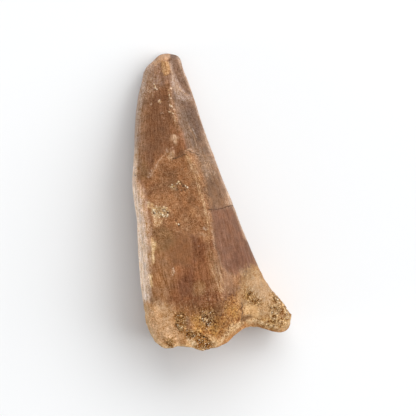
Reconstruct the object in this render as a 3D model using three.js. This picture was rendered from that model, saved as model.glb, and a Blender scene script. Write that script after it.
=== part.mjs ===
// A fossil mosasaur tooth: one natural solid, a crown with the flared stump of its root.
//
// Units are millimetres and +Z is up. The tooth lies on its inner side, as it rests on a table.
// +Y runs from the broken root to the worn tip, and +X points to the side where the root flares
// into a lobe. The origin is under the middle of the tooth's box, on the surface that it rests on.
//
// The skin is lofted over cross-sections. Each one is a closed curve through twelve points, of
// which the named ones are given per station and the others are worked out from them. The first
// and last sections run along the ragged edges of the broken root and the chipped tip.

import * as THREE from "three";

const COLUMNS_PER_POINT = 6; // mesh columns between two neighbouring points of a section
const ROWS_PER_STATION = 4; // mesh rows between two neighbouring stations
const FACE_ROWS = 6; // mesh rows from the edge of a broken face to its middle

// Stations from the root's edge to the tip's edge. "at" is the section's Y at its left and right
// ends. left, shoulder, ridge, face and right are [x, z] along the side that faces up, and under
// holds the heights of the lower left, the belly and the lower right. "bend" is how far the section
// follows the broken edge next to it, from 0 for straight across to 1 for along the edge.
const STATIONS = [
  { at: [-23.0, -20.2], left: [-10.5, 7.6], shoulder: [-9.3, 12.2], ridge: [0.8, 14.0],
    face: [7.2, 9.8], right: [13.95, 5.2], under: [1.6, 2.2, 1.3], bend: 1 },
  { at: [-21.2, -19.3], left: [-11.2, 8.1], shoulder: [-10.0, 12.9], ridge: [1.2, 14.9],
    face: [7.6, 10.7], right: [13.9, 5.6], under: [-0.2, 0.8, -0.2], bend: 0.66 },
  { at: [-18.4, -17.4], left: [-11.6, 8.4], shoulder: [-10.4, 13.2], ridge: [1.6, 15.4],
    face: [6.8, 11.4], right: [12.7, 6.2], under: [-0.3, 0.6, 0.1], bend: 0.26 },
  { at: [-14.8, -14.8], left: [-12.2, 8.6], shoulder: [-10.7, 13.3], ridge: [1.8, 15.5],
    face: [6.2, 11.9], right: [10.2, 7.0], under: [0.7, 0.6, 1.2], bend: 0.06 },
  { at: [-11.4, -11.4], left: [-12.5, 8.8], shoulder: [-10.8, 13.3], ridge: [0.9, 15.4],
    face: [4.9, 12.8], right: [8.2, 8.2], under: [1.5, 0.7, 2.0], bend: 0 },
  { at: [-6.0, -6.0], left: [-12.8, 8.7], shoulder: [-11.2, 12.9], ridge: [-0.1, 14.8],
    face: [3.2, 12.7], right: [5.9, 8.6], under: [2.0, 1.0, 2.4], bend: 0 },
  { at: [-3.2, -3.2], left: [-12.85, 8.5], shoulder: [-11.7, 12.4], ridge: [-0.6, 14.3],
    face: [2.3, 12.4], right: [4.75, 8.5], under: [2.1, 1.2, 2.5], bend: 0 },
  { at: [-0.3, -0.3], left: [-13.3, 8.1], shoulder: [-12.1, 11.9], ridge: [-1.1, 13.9],
    face: [1.4, 12.1], right: [3.7, 8.4], under: [2.2, 1.3, 2.6], bend: 0 },
  { at: [3.2, 3.2], left: [-13.65, 7.4], shoulder: [-12.8, 10.9], ridge: [-1.8, 13.2],
    face: [0.4, 11.4], right: [2.2, 8.1], under: [2.2, 1.4, 2.6], bend: 0 },
  { at: [8.0, 8.0], left: [-13.35, 6.3], shoulder: [-12.9, 9.4], ridge: [-4.0, 12.0],
    face: [-1.5, 10.3], right: [0.4, 7.3], under: [2.0, 1.3, 2.4], bend: 0 },
  { at: [13.4, 13.4], left: [-13.3, 4.8], shoulder: [-12.6, 7.7], ridge: [-5.9, 10.0],
    face: [-3.5, 8.6], right: [-1.6, 5.9], under: [1.5, 0.7, 1.8], bend: 0 },
  { at: [18.2, 18.2], left: [-12.8, 3.8], shoulder: [-12.2, 6.2], ridge: [-7.2, 8.1],
    face: [-4.9, 6.8], right: [-3.1, 4.6], under: [0.7, -0.2, 1.0], bend: 0 },
  { at: [21.0, 21.4], left: [-12.2, 3.1], shoulder: [-11.6, 5.0], ridge: [-7.9, 6.9],
    face: [-5.8, 5.8], right: [-4.15, 3.8], under: [0.4, -0.3, 0.6], bend: 0.3 },
  { at: [22.8, 24.1], left: [-11.95, 2.5], shoulder: [-11.2, 4.0], ridge: [-8.1, 5.6],
    face: [-6.3, 4.9], right: [-5.1, 3.3], under: [1.1, 0.6, 1.3], bend: 1 },
];

// The two broken faces. "edge" is the rim as seen from above, [x, y] from left to right, and
// "middle" the face's middle. The face is set back by "lean" millimetres for each millimetre that
// it lies below (side -1) or above (side 1) the height "rim".
const ROOT_FACE = {
  edge: [
    [-10.5, -22.9], [-9.9, -24.0], [-8.5, -25.0], [-7.0, -25.2], [-5.9, -24.7], [-4.2, -24.8],
    [-1.6, -25.6], [0.6, -25.0], [3.0, -24.0], [4.2, -22.7], [5.4, -21.8], [6.5, -21.4],
    [8.4, -21.6], [11.0, -22.6], [12.5, -22.65], [13.4, -21.8], [13.8, -21.0], [13.95, -20.2],
  ],
  middle: [0.6, -21.6, 5.4], side: -1, rim: 5, lean: 0.3,
};
const TIP_FACE = {
  edge: [
    [-11.95, 22.8], [-11.4, 23.7], [-10.8, 24.1], [-10.35, 24.3], [-9.95, 25.0], [-9.4, 25.65],
    [-8.9, 25.95], [-8.2, 26.1], [-7.2, 26.1], [-6.2, 25.85], [-5.6, 25.35], [-5.3, 24.8],
    [-5.1, 24.1],
  ],
  middle: [-8.0, 25.6, 3.2], side: 1, rim: 2, lean: 0.32,
};

// Where the points between the named ones lie, as shares of the way from one to the next, and how
// far they stand proud of a straight line.
const STRIP = { share: 0.5, bulge: 0.3 }; // on the steep left strip
const FRONT_LEFT = { share: 0.33, bulge: 0.25 }; // on the broad face between shoulder and ridge
const FRONT_RIGHT = { share: 0.72, bulge: 0.18 };
const SLOPE = { share: 0.6, bulgeForWidth: 0.12 }; // on the slope to the right end
const UNDER_INSET = 0.15; // lower corners, as a share of the section's width in from its ends

const UPPER_SIDE = [2.5, 4.5]; // heights between which the upper side's hollows come in

// Shallow hollows in the upper side. "at" is the middle [x, y], "reach" the half lengths across and
// along, and "turn" the angle in degrees by which the long way leans from +Y towards +X.
const HOLLOWS = [
  { at: [-6.1, 22.6], reach: [1.0, 3.6], turn: -22, depth: 0.7 }, // worn scoop beside the tip's ridge
  { at: [-7.5, 2.0], reach: [3.6, 7.0], turn: 0, depth: 0.35 }, // where the front's enamel flaked off
  { at: [6.2, -18.9], reach: [1.2, 2.8], turn: -8, depth: 1.0 }, // groove between root and lobe
];

// The value of a broken edge's y at a given x.
function edgeAt(edge, x) {
  const clamped = THREE.MathUtils.clamp(x, edge[0][0], edge.at(-1)[0]);
  const next = Math.max(1, edge.findIndex(([edgeX]) => edgeX >= clamped));
  const [[x0, y0], [x1, y1]] = [edge[next - 1], edge[next]];
  return THREE.MathUtils.mapLinear(clamped, x0, x1, y0, y1);
}

// A point a share of the way from a to b, moved at right angles to the line by "bulge".
function between([ax, az], [bx, bz], share, bulge) {
  const length = Math.hypot(bx - ax, bz - az);
  return [
    ax + (bx - ax) * share - (bulge * (bz - az)) / length,
    az + (bz - az) * share + (bulge * (bx - ax)) / length,
  ];
}

// The twelve points of one section, still straight across, clockwise from its left end as seen
// from the root.
function sectionPoints({ at, left, shoulder, ridge, face, right, under }) {
  const inset = (right[0] - left[0]) * UNDER_INSET;
  const points = [
    left,
    between(left, shoulder, STRIP.share, STRIP.bulge),
    shoulder,
    between(shoulder, ridge, FRONT_LEFT.share, FRONT_LEFT.bulge),
    between(shoulder, ridge, FRONT_RIGHT.share, FRONT_RIGHT.bulge),
    ridge,
    face,
    between(face, right, SLOPE.share, SLOPE.bulgeForWidth * (right[0] - face[0])),
    right,
    [right[0] - inset, under[2]],
    [(left[0] + right[0]) / 2, under[1]],
    [left[0] + inset, under[0]],
  ];
  const yAt = (x) => THREE.MathUtils.mapLinear(x, left[0], right[0], at[0], at[1]);
  return points.map(([x, z]) => new THREE.Vector3(x, yAt(x), z));
}

const sections = STATIONS.map(sectionPoints);
const rails = sections[0].map(
  (_, point) => new THREE.CatmullRomCurve3(sections.map((points) => points[point])),
);
const bends = new THREE.CatmullRomCurve3(STATIONS.map(({ bend }) => new THREE.Vector3(bend, 0, 0)));

// How far a broken face lies behind its edge at a height.
function setBack({ side, rim, lean }, z) {
  return side * lean * Math.max(0, side * (z - rim));
}

// Carries a section's point along with the broken edge next to it.
function bent(point, bend, face) {
  const [first, last] = [face.edge[0], face.edge.at(-1)];
  const chord = THREE.MathUtils.mapLinear(point.x, first[0], last[0], first[1], last[1]);
  point.y += bend * (edgeAt(face.edge, point.x) - chord - setBack(face, point.z));
  return point;
}

// Lowers a point of the upper side by the hollows that reach it.
function hollowed(point) {
  const facesUp = THREE.MathUtils.smoothstep(point.z, ...UPPER_SIDE);
  for (const { at, reach, turn, depth } of HOLLOWS) {
    const offset = new THREE.Vector2(point.x - at[0], point.y - at[1]);
    offset.rotateAround(new THREE.Vector2(), THREE.MathUtils.degToRad(turn));
    const distance = (offset.x / reach[0]) ** 2 + (offset.y / reach[1]) ** 2;
    point.z -= depth * facesUp * Math.exp(-distance);
  }
  return point;
}

// The closed ring of mesh vertices at a share of the way from the root's edge to the tip's.
function ringAt(share) {
  const section = new THREE.CatmullRomCurve3(rails.map((rail) => rail.getPoint(share)), true);
  const bend = bends.getPoint(share).x;
  const face = share < 0.5 ? ROOT_FACE : TIP_FACE;
  const count = rails.length * COLUMNS_PER_POINT;
  return Array.from({ length: count }, (_, column) =>
    hollowed(bent(section.getPoint(column / count), bend, face)));
}

const NARROWING = 1.5; // exponents: the rings of a broken face flatten faster than they narrow,
const SMOOTHING = 2; // and the edge's raggedness fades out towards the middle

// The ring of a broken face at a share of the way from its edge to its middle.
function faceRing(edgeRing, face, share) {
  const [middleX, middleY, middleZ] = face.middle;
  return edgeRing.map((point) => {
    const x = THREE.MathUtils.lerp(point.x, middleX, share ** NARROWING);
    const z = THREE.MathUtils.lerp(point.z, middleZ, share);
    const ragged = edgeAt(face.edge, x) - setBack(face, z);
    return new THREE.Vector3(x, THREE.MathUtils.lerp(ragged, middleY, share ** SMOOTHING), z);
  });
}

// All rings from the middle of the tip's face, over the body, to the middle of the root's face.
function allRings() {
  const bodyRows = (STATIONS.length - 1) * ROWS_PER_STATION;
  const body = Array.from({ length: bodyRows + 1 }, (_, row) => ringAt(1 - row / bodyRows));
  const tipFace = Array.from({ length: FACE_ROWS }, (_, row) =>
    faceRing(body[0], TIP_FACE, 1 - row / FACE_ROWS));
  const rootFace = Array.from({ length: FACE_ROWS }, (_, row) =>
    faceRing(body.at(-1), ROOT_FACE, (row + 1) / FACE_ROWS));
  return [...tipFace, ...body, ...rootFace];
}

// A sphere's grid of vertices is laid over the rings, its poles on the middles of the two faces.
// What would sink below the table is flat on it.
function toothGeometry() {
  const rings = allRings();
  const columns = rings[0].length;
  const geometry = new THREE.SphereGeometry(1, columns, rings.length - 1);
  const position = geometry.getAttribute("position");
  for (let row = 0; row < rings.length; row += 1) {
    for (let column = 0; column <= columns; column += 1) {
      const { x, y, z } = rings[row][column % columns];
      position.setXYZ(row * (columns + 1) + column, x, y, Math.max(z, 0));
    }
  }
  geometry.computeVertexNormals();
  geometry.computeBoundingBox();
  const middle = geometry.boundingBox.getCenter(new THREE.Vector3());
  geometry.translate(-middle.x, -middle.y, -geometry.boundingBox.min.z);
  return geometry;
}

const fossil = new THREE.MeshStandardMaterial({ color: 0x9a6f4c, roughness: 0.5, metalness: 0 });
const tooth = new THREE.Mesh(toothGeometry(), fossil);
tooth.name = "tooth";

const group = new THREE.Group();
group.add(tooth);

export default group;
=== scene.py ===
"""A fossil mosasaur tooth on a pale floor, lying on its inner side, seen from above.

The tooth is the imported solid, subdivided and then given its relief: ragged fractures, flaked
enamel, cracks and the crumbly root. Its colours are painted by one node material whose layers
follow outlines drawn on the tooth. Loose mineral grains sit in the rough parts.

Places on the tooth are percentages of its box: the first runs from its left edge (0) to the end of
the root's lobe (100), and the second from the root (0) to the tip (100). Other lengths on the tooth
are millimetres.
"""

import math
from collections import namedtuple
from functools import partial, reduce

import bmesh
import bpy
import numpy as np
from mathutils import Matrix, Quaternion, Vector, noise


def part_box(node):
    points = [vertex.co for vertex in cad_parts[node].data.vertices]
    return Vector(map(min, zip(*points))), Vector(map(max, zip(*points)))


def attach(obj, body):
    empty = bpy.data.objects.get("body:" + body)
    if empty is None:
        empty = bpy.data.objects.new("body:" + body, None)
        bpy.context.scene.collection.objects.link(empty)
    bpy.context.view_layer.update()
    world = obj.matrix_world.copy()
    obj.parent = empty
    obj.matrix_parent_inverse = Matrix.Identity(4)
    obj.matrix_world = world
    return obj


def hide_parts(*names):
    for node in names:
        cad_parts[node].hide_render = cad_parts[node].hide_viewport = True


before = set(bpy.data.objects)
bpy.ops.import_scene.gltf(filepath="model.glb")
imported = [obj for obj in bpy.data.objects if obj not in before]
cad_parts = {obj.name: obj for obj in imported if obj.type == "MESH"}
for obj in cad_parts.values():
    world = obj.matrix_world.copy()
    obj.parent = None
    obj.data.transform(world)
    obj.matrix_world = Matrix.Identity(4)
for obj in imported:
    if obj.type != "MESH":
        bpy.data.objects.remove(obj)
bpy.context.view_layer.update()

MM = 0.001
TOOTH = "tooth"

low, high = (np.array(corner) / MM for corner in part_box(TOOTH))
size = high - low


def add_object(name, data):
    made = bpy.data.objects.new(name, data)
    bpy.context.scene.collection.objects.link(made)
    return made


def add_material(name):
    """A new material and its shader."""
    material = bpy.data.materials.new(name)
    material.use_nodes = True
    return material, material.node_tree.nodes["Principled BSDF"]


def add_number(mesh, name, values):
    """Gives every point of a mesh a number that its material can read."""
    made = mesh.attributes.new(name, "FLOAT", "POINT")
    made.data.foreach_set("value", values.astype(np.float32))


# ------ camera, light and floor

SENSOR = 36.0  # the camera's film width
CAMERA_HEIGHT = 560 * MM  # above the plane where the picture's width is measured
CAMERA_NEAREST = 10 * MM
VIEW_WIDTH = 72.3 * MM
VIEW_PLANE = 0.42  # that plane's height, as a share of the tooth's thickness
VIEW_MIDDLE = (0.472, 0.476)  # the picture's middle, as shares of the tooth's box

# The soft lights: headings count from +X towards +Y, and lengths are metres.
Lamp = namedtuple("Lamp", "name heading elevation distance size watts")
LAMPS = [
    Lamp("key_right", 10, 42, 1.6, 1.8, 20.4),
    Lamp("key_tip", 75, 42, 1.6, 1.8, 17.2),
    Lamp("fill", 195, 12, 1.6, 0.6, 3.0),
]
SKY = 0.385
SKY_TINT = (0.978, 1.0, 1.022, 1.0)  # a little cool, so that shadows beside a brown thing stay grey

FLOOR_HALF = 3.0
FLOOR_GREY = (0.862, 0.866, 0.868, 1.0)
FLOOR_ROUGHNESS = 0.9
FLOOR_SHEEN = 0.1


def make_camera():
    data = bpy.data.cameras.new("camera")
    data.sensor_width = SENSOR
    data.lens = SENSOR * CAMERA_HEIGHT / VIEW_WIDTH
    data.clip_start = CAMERA_NEAREST
    camera = add_object("camera", data)
    across, along = (low[:2] + VIEW_MIDDLE * size[:2]) * MM
    camera.location = (across, along, size[2] * VIEW_PLANE * MM + CAMERA_HEIGHT)
    bpy.context.scene.camera = camera


def make_lamp(lamp):
    data = bpy.data.lights.new(lamp.name, "AREA")
    data.shape = "DISK"
    data.size = lamp.size
    data.energy = lamp.watts
    made = add_object(lamp.name, data)
    heading = math.radians(lamp.heading)
    elevation = math.radians(lamp.elevation)
    towards = Vector((
        math.cos(elevation) * math.cos(heading),
        math.cos(elevation) * math.sin(heading),
        math.sin(elevation),
    ))
    made.location = towards * lamp.distance
    made.rotation_euler = towards.to_track_quat("Z", "Y").to_euler()


def make_sky():
    world = bpy.data.worlds.new("sky")
    world.use_nodes = True
    background = world.node_tree.nodes["Background"]
    background.inputs["Color"].default_value = SKY_TINT
    background.inputs["Strength"].default_value = SKY
    bpy.context.scene.world = world


def make_floor():
    mesh = bpy.data.meshes.new("floor")
    corners = FLOOR_HALF * np.array([(-1, -1, 0), (1, -1, 0), (1, 1, 0), (-1, 1, 0)])
    mesh.from_pydata(corners, [], [(0, 1, 2, 3)])
    floor = add_object("floor", mesh)
    material, shader = add_material("floor")
    shader.inputs["Base Color"].default_value = FLOOR_GREY
    shader.inputs["Roughness"].default_value = FLOOR_ROUGHNESS
    shader.inputs["Specular IOR Level"].default_value = FLOOR_SHEEN
    mesh.materials.append(material)


# ------ outlines on the tooth


def on_tooth(places):
    """The corners (mm) at places that are given as across and along by turns."""
    return low[:2] + np.reshape(places, (-1, 2)) / 100 * size[:2]


def area(*places):
    return "area", 0.0, on_tooth(places)


def line(width, *places):
    return "line", width / 2, on_tooth(places)


def spots(radius, *places):
    return "spots", radius, on_tooth(places)


# Each field is a set of shapes that look alike. Their points were picked on the enlarged
# photograph, and then converted into percentages of the tooth's box and rounded. WRAPS names the
# fields that go round the tooth; the others stay on the side that faces up.
WRAPS = ("root", "right_face")
FIELDS = dict(
    root=[area(-20, 17, 9, 16.5, 14, 15, 20, 14, 24, 13, 29, 12.5, 35, 12, 40, 13, 46, 12, 52, 11.5,
        56, 12.5, 59, 14, 62, 16.5, 67, 20.5, 69, 24.5, 73, 27, 79, 28.5, 120, 32, 120, -20,
        -20, -20)],
    right_face=[area(22, 105, 23, 98, 23, 92.5, 24, 87.5, 26, 81, 29, 75.5, 33, 69.5, 34, 66,
        40, 62, 44, 56, 47, 50, 49, 43.5, 50, 38, 51, 34, 54, 28.5, 60, 25, 68, 25, 110, 28,
        110, 105)],
    spall=[area(6, 57, 8, 58, 11, 58.5, 14, 61.5, 18, 64, 21, 66, 26, 65, 33, 65.5, 36, 65.5,
        42, 64, 45, 57, 48, 49, 50, 41, 50, 38, 46, 38, 40, 40, 33, 38.5, 25, 37, 18, 35.5, 13, 36,
        10, 40, 9, 46.5, 8, 52)],
    # The steep left facet: pale enamel, made paler still by a painted reflection of bright
    # surroundings.
    strip=[
        area(-4, 58.5, 2, 58, 4, 56, 7, 53.5, 8, 50, 9, 46, 11, 42, 12, 37, 11, 31.5, 11, 27.5,
            10, 23.5, 9, 19.5, 10, 15, 8, 13, -4, 17),
        area(-4, 65.5, 2, 65.5, 2, 62, 2, 58, -4, 57)],
    # A pale line along the right outline: a painted grazing reflection.
    rim=[
        line(0.7, 29, 98.5, 32, 93, 35, 90, 37.5, 86.5, 42.5, 79, 47.5, 69.5, 53.5, 62, 58.5, 55,
            62.5, 49),
        area(61.5, 49.5, 66, 49.5, 79, 32, 70, 37.5)],
    front_low=[area(11, 37, 25, 38, 33, 37, 45, 36, 50, 36, 53, 27, 56, 18, 45, 14, 33, 15, 15, 15,
        12, 22)],
    root_brown=[
        area(26, 15.5, 36, 15, 46, 15.5, 57, 16.5, 61, 15, 59, 13, 53, 11.5, 46, 12, 36, 12.5,
            28, 12, 25, 14),
        area(51, 11.5, 57, 11, 58, 8, 56, 4.5, 52, 6),
        area(57, 16.5, 63, 18.5, 65, 15.5, 62, 13.5, 57, 13.5),
        area(65, 14.5, 70, 14.5, 71, 11.5, 67, 10.5)],
    flecky=[
        area(7, 92, 17, 92, 18, 85, 9, 83),
        line(0.9, 22.5, 88, 23.5, 85, 24.5, 82, 25.5, 79, 29, 74),
        area(40, 64, 50, 64, 53, 57, 45, 57),
        area(11, 48, 24, 48, 24, 43, 12, 43),
        area(28, 57, 36, 57, 36, 52, 28, 52),
        area(46, 40, 50, 38, 52, 30, 47, 31),
        area(26, 14, 50, 14, 50, 0, 26, 0),
        area(74, 24, 90, 20, 100, 13, 95, 7, 75, 10)],
    smooth_tan=[area(41, 67.5, 46, 66.5, 52, 62, 57, 56.5, 61, 50.5, 62, 48.5, 48, 48, 46, 54,
        43, 60.5)],
    grey=[
        area(40, 71.5, 48, 72, 51, 67.5, 46, 66.5, 42, 66.5, 38, 68.5),
        area(42, 64, 48, 64.5, 52, 62, 53, 57, 48, 56, 44, 58.5)],
    golden=[
        area(32, 66.5, 36, 67.5, 41, 64.5, 43, 61, 45, 56.5, 48, 50.5, 50, 43, 50, 38.5, 46, 35.5,
            43, 38, 45, 43, 43, 49, 39, 53, 35, 58, 33, 62.5),
        area(46, 35, 51, 33.5, 55, 29.5, 58, 23.5, 55, 19.5, 50, 20.5, 48, 26.5, 46, 31.5)],
    golden_veins=[
        line(0.9, 33.5, 65.5, 36, 62, 38.5, 59, 41.5, 56, 43.5, 52, 45.5, 48, 47, 43, 48, 38.5),
        line(0.9, 36.5, 62.5, 39, 58.5, 41, 54, 44, 50, 46, 45),
        line(0.9, 35, 64.5, 39.5, 60.5, 42.5, 57),
        line(0.9, 49.5, 28.5, 51, 25.5, 53, 22.5, 54.5, 20),
        line(0.9, 51.5, 29, 53, 25.5, 54.5, 22.5, 56.5, 20.5),
        line(0.9, 53.5, 28.5, 55, 25.5, 57, 22.5)],
    plum=[area(49, 47, 63, 47.5, 70, 38, 78, 29, 74, 27.5, 68, 26.5, 64, 25.5, 59, 26.5, 55, 29.5,
        52, 35.5)],
    plum_dark=[
        area(63, 34.5, 70, 35, 73, 29.5, 70, 27.5, 65, 26.5, 62, 28.5),
        area(30, 24, 35, 25, 38, 27, 39, 23, 36, 18.5, 31, 17.5, 29, 21),
        line(0.45, 38.5, 38, 39.5, 35.5, 39, 32.5, 38.5, 29.5)],
    red=[
        area(21, 15, 24, 18.5, 34, 18.5, 43, 19, 54, 18.5, 57, 15.5, 48, 13.5, 38, 15, 29, 13),
        area(28, 72.5, 31, 73, 33, 68, 30, 67.5, 28, 70),
        spots(0.22, 66.5, 25.5)],
    olive=[
        area(4, 63, 9, 63, 10, 58, 6, 57, 4, 60),
        area(12, 41, 19, 42, 25, 40, 28, 37, 23, 33.5, 16, 33, 13, 35),
        line(0.4, 10.5, 29.5, 11, 23.5, 12, 19.5, 13, 17)],
    dark_brown=[
        area(15, 88.5, 22, 89.5, 23, 82.5, 18, 81.5, 15, 84.5),
        area(26, 68, 30, 68.5, 34, 68, 34, 66, 30, 65, 26, 64.5)],
    mauve_streaks=[
        line(0.5, 27.5, 93, 31.5, 88, 35, 82.5, 38.5, 77.5, 42, 70),
        line(0.35, 34.5, 84, 37.5, 80, 41, 74.5)],
    tan_streaks=[
        area(12, 38, 13, 37.5, 15, 35.5, 14, 33, 14, 29.5, 13, 29, 12, 31.5, 12, 34.5),
        area(11, 25.5, 12, 25, 13, 21.5, 12, 21.5),
        line(0.4, 12.5, 49, 13, 46.5),
        line(0.3, 10, 49.5, 10, 48)],
    # Pale lines along the ridge and the breaks' edges: partly pale enamel, partly a painted
    # highlight.
    pale_lines=[
        line(0.9, 11.5, 58.5, 13, 60, 14.5, 61.5, 17.5, 64, 21, 66, 24.5, 67.5),
        line(0.9, 33.5, 66.5, 36, 67, 38.5, 66, 42, 65.5, 46.5, 65, 51.5, 65.5),
        line(0.9, 47.5, 46, 48.5, 43, 49, 42, 50.5, 37, 51, 33.5),
        line(0.9, 23.5, 96, 24, 94, 25, 91.5, 27.5, 88.5, 31.5, 86.5, 35, 85.5),
        line(0.9, 35, 75, 36.5, 73.5, 38.5, 71.5, 40, 68.5)],
    # The scooped groove beside the tip, painted dark: partly its own dark mauve, partly painted
    # shade in the hollow.
    scoop=[area(23, 100, 27, 99.5, 29, 97.5, 32, 93.5, 34, 89.5, 36, 85.5, 34, 85.5, 30, 89.5,
        27, 92, 25, 95.5, 23, 97.5)],
    # Pale band and lines along the scoop's edge: partly paler enamel, partly a painted highlight.
    scoop_pale=[
        line(0.55, 23.5, 96.5, 24, 94, 26, 91.5, 28.5, 88.5, 31.5, 86.5, 36, 84),
        area(23, 92, 25, 92, 30, 86.5, 34, 83.5, 29, 84, 24, 88)],
    tip_break=[area(12, 96.5, 14, 97.5, 16, 99, 18, 100, 23, 100, 23, 97.5, 20, 97, 16, 96.5,
        14, 95.5)],
    tip_bevel=[area(8, 94.5, 12, 96.5, 14, 96.5, 13, 95.5, 9, 94)],
    flecks=[spots(0.15, 13.5, 89, 14, 88, 15, 87.5, 16.5, 83.5, 17, 83, 22.5, 87, 24, 87.5, 23, 85,
        24, 84, 23.5, 82, 24.5, 81.5, 25.5, 80.5, 23.5, 79.5, 26.5, 77, 25.5, 79)],
    lobe=[area(67, 11.5, 66, 16.5, 68, 23, 68, 26, 74, 27.5, 79, 28.5, 82, 26.5, 87, 22.5, 96, 18.5,
        102, 15, 102, 9.5, 96, 6.5, 82, 7.5, 73, 9.5)],
    cream=[
        area(34, 3, 37, 4, 40, 3, 41, 1, 37, 1, 34, 2),
        area(47, 5.5, 51, 5, 55, 3.5, 53, 2, 49, 3),
        area(70, 15.5, 75, 15.5, 79, 14, 79, 11, 74, 10.5, 70, 12.5),
        area(58, 7.5, 62, 9.5, 67, 9, 64, 6),
        line(0.3, 94.5, 15, 95, 13.5, 94.5, 12.5)],
    lobe_grey=[area(72, 24, 78, 25, 84, 22.5, 88, 19.5, 86, 16.5, 80, 16.5, 75, 19.5)],
    ochre=[
        area(36, 11.5, 40, 12, 45, 11.5, 46, 9.5, 45, 6.5, 42, 6, 38, 8),
        area(48, 8, 51, 10.5, 54, 9, 53, 5.5, 50, 5),
        area(70, 20.5, 73, 19.5, 74, 17, 70, 16.5, 69, 18.5),
        area(57, 15, 59, 15.5, 60, 14, 58, 13),
        area(20, 4, 26, 4.5, 26, 2, 23, 1, 20, 2),
        area(61, 15, 65, 15.5, 66, 11.5, 62, 11.5),
        area(78, 11, 84, 11.5, 90, 9.5, 89, 7.5, 82, 8, 77, 9.5)],
    granular=[
        area(27, 12.5, 31, 13, 33, 11, 33, 8, 30, 6.5, 28, 8, 27, 10.5),
        area(33, 7, 36, 7.5, 40, 6.5, 43, 5, 42, 4, 37, 4.5, 34, 5.5),
        area(72, 19.5, 74, 19.5, 77, 17.5, 80, 16.5, 79, 15, 75, 16, 72, 17.5),
        area(86, 14.5, 90, 14.5, 91, 12, 87, 11.5),
        area(87, 19.5, 90, 18, 93, 16, 90, 15.5, 87, 17.5),
        area(96, 16, 99, 15, 100, 12.5, 97, 10.5, 96, 12.5)],
    hollow=[area(40, 5, 42, 6, 45, 5, 48, 3.5, 51, 1.5, 49, 0.5, 45, 0.5, 42, 2, 40, 3.5)],
    # A dark spot in the lobe's hole: partly its own dark brown, partly painted shade in the hollow.
    hole=[
        spots(0.55, 70.5, 10.5),
        spots(0.38, 73, 11)],
    # Dark lines in the cracks: partly dark filling, partly the painted shadow of the breaks' steps.
    cracks=[
        line(0.9, 48, 47, 51.5, 47, 55.5, 47.5, 59, 48, 63, 48.5),
        line(0.9, 25.5, 64, 27.5, 64.5, 30, 65, 33, 65.5),
        line(0.9, 35, 66.5, 37, 66, 39, 66, 41, 65.5),
        line(0.9, 68, 16, 68.5, 15, 68.5, 14, 69, 13, 68.5, 11.5, 68, 10, 69, 9)],
    # A pale line along the left outline: a painted grazing highlight.
    left_edge=[line(1.3, 13, 97.5, 10, 95.5, 7.5, 93.5, 6, 90, 4.5, 85.5, 3, 81.5, 2, 77.5,
        1.5, 72.5, 1, 67.5, 1, 62, 0.5, 58)],
    # Paler colour over the crown's left side: partly its own tone, partly painted sheen.
    left_soft=[area(9, 95, 15, 93.5, 13, 87.5, 10, 82.5, 9, 77.5, 8, 70.5, 8, 64, 6, 58.5, 0, 56.5,
        -1, 70.5, 1, 84)],
    tip_front=[area(7, 94, 13, 96, 18, 97, 18, 92, 21, 91.5, 19, 88.5, 13, 87.5, 9, 85.5, 4, 84.5,
        5, 90)],
    front_dark=[area(11, 84.5, 18, 86, 21, 84, 23, 80, 24, 74.5, 23, 69.5, 18, 67.5, 11, 64,
        8, 64.5, 9, 74, 10, 80.5)],
    # The palest part of the left facet: pale enamel and a painted reflection.
    strip_bright=[
        area(-4, 56, 2, 55, 4, 51, 6, 46.5, 7, 42, 8, 37, 9, 31.5, 9, 27, 10, 22.5, 11, 18.5,
            10, 15, 5, 15.5, -4, 15.5),
        area(-2, 68, 1, 67.5, 1.5, 64, 1, 60, 1, 56, -2, 56)],
    low_left=[area(12, 38, 18, 37, 23, 35, 26, 31.5, 26, 27, 25, 21.5, 23, 17, 28, 12.5, 10, 11.5,
        10, 20.5, 11, 29.5)],
    low_dark=[
        area(40, 38, 43, 38.5, 47, 37, 49, 33.5, 48, 29.5, 45, 29.5, 41, 32.5),
        area(30, 27, 38, 27.5, 40, 23.5, 38, 19.5, 33, 17, 40, 15.5, 52, 15.5, 54, 19, 46, 20.5,
            40, 19.5, 38, 22.5, 30, 21.5)],
    ridge_pale=[area(21, 84.5, 25, 85.5, 30, 82.5, 35, 78, 38, 72.5, 39, 68, 35, 67.5, 31, 72.5,
        28, 78, 24, 82)],
    right_streaks=[
        line(0.5, 31, 84, 34, 80.5, 36.5, 76.5, 39, 72.5, 41.5, 68),
        line(0.35, 32.5, 77.5, 35, 73.5, 38.5, 68.5, 41, 66.5),
        area(46, 62.5, 50, 62, 54, 55, 57, 48.5, 53, 48, 49, 54, 46, 58.5)],
    right_crack=[line(0.9, 37, 75, 37.5, 74, 39, 72.5, 40, 71)],
    ridge_gold=[line(0.55, 21.5, 89.5, 23, 86, 24, 83.5, 25, 80.5, 26, 78, 27.5, 76, 29, 73.5,
        30.5, 71.5, 31.5, 68.5)],
    spall_light=[
        area(13, 52, 21, 52.5, 28, 51, 29, 48.5, 25, 46, 20, 46.5, 15, 48),
        area(36, 48.5, 41, 48, 42, 45, 38, 44, 35, 46),
        area(31, 43, 39, 42, 44, 40, 43, 38, 35, 39, 29, 40.5),
        area(24, 43, 30, 45, 35, 44, 33, 41, 26, 41),
        line(0.7, 11.5, 58, 14, 60.5, 17.5, 63, 22, 64.5)],
    spall_dark=[
        area(12, 42.5, 19, 42, 26, 41, 25, 38.5, 18, 38, 13, 39),
        area(32, 42.5, 36, 43, 38, 40.5, 33, 40),
        area(18, 58.5, 24, 60, 28, 56.5, 23, 54, 16, 55),
        area(34, 52, 38, 53, 40, 50.5, 36, 48.5)],
    root_smooth=[area(9, 15, 15, 16, 21, 16, 26, 13.5, 26, 9.5, 29, 7, 31, 4, 29, 1.5, 21, 0, 11, 3,
        6, 11)],
    # Pale colour along the root's broken edge: partly pale bone, partly a painted rim highlight.
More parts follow.
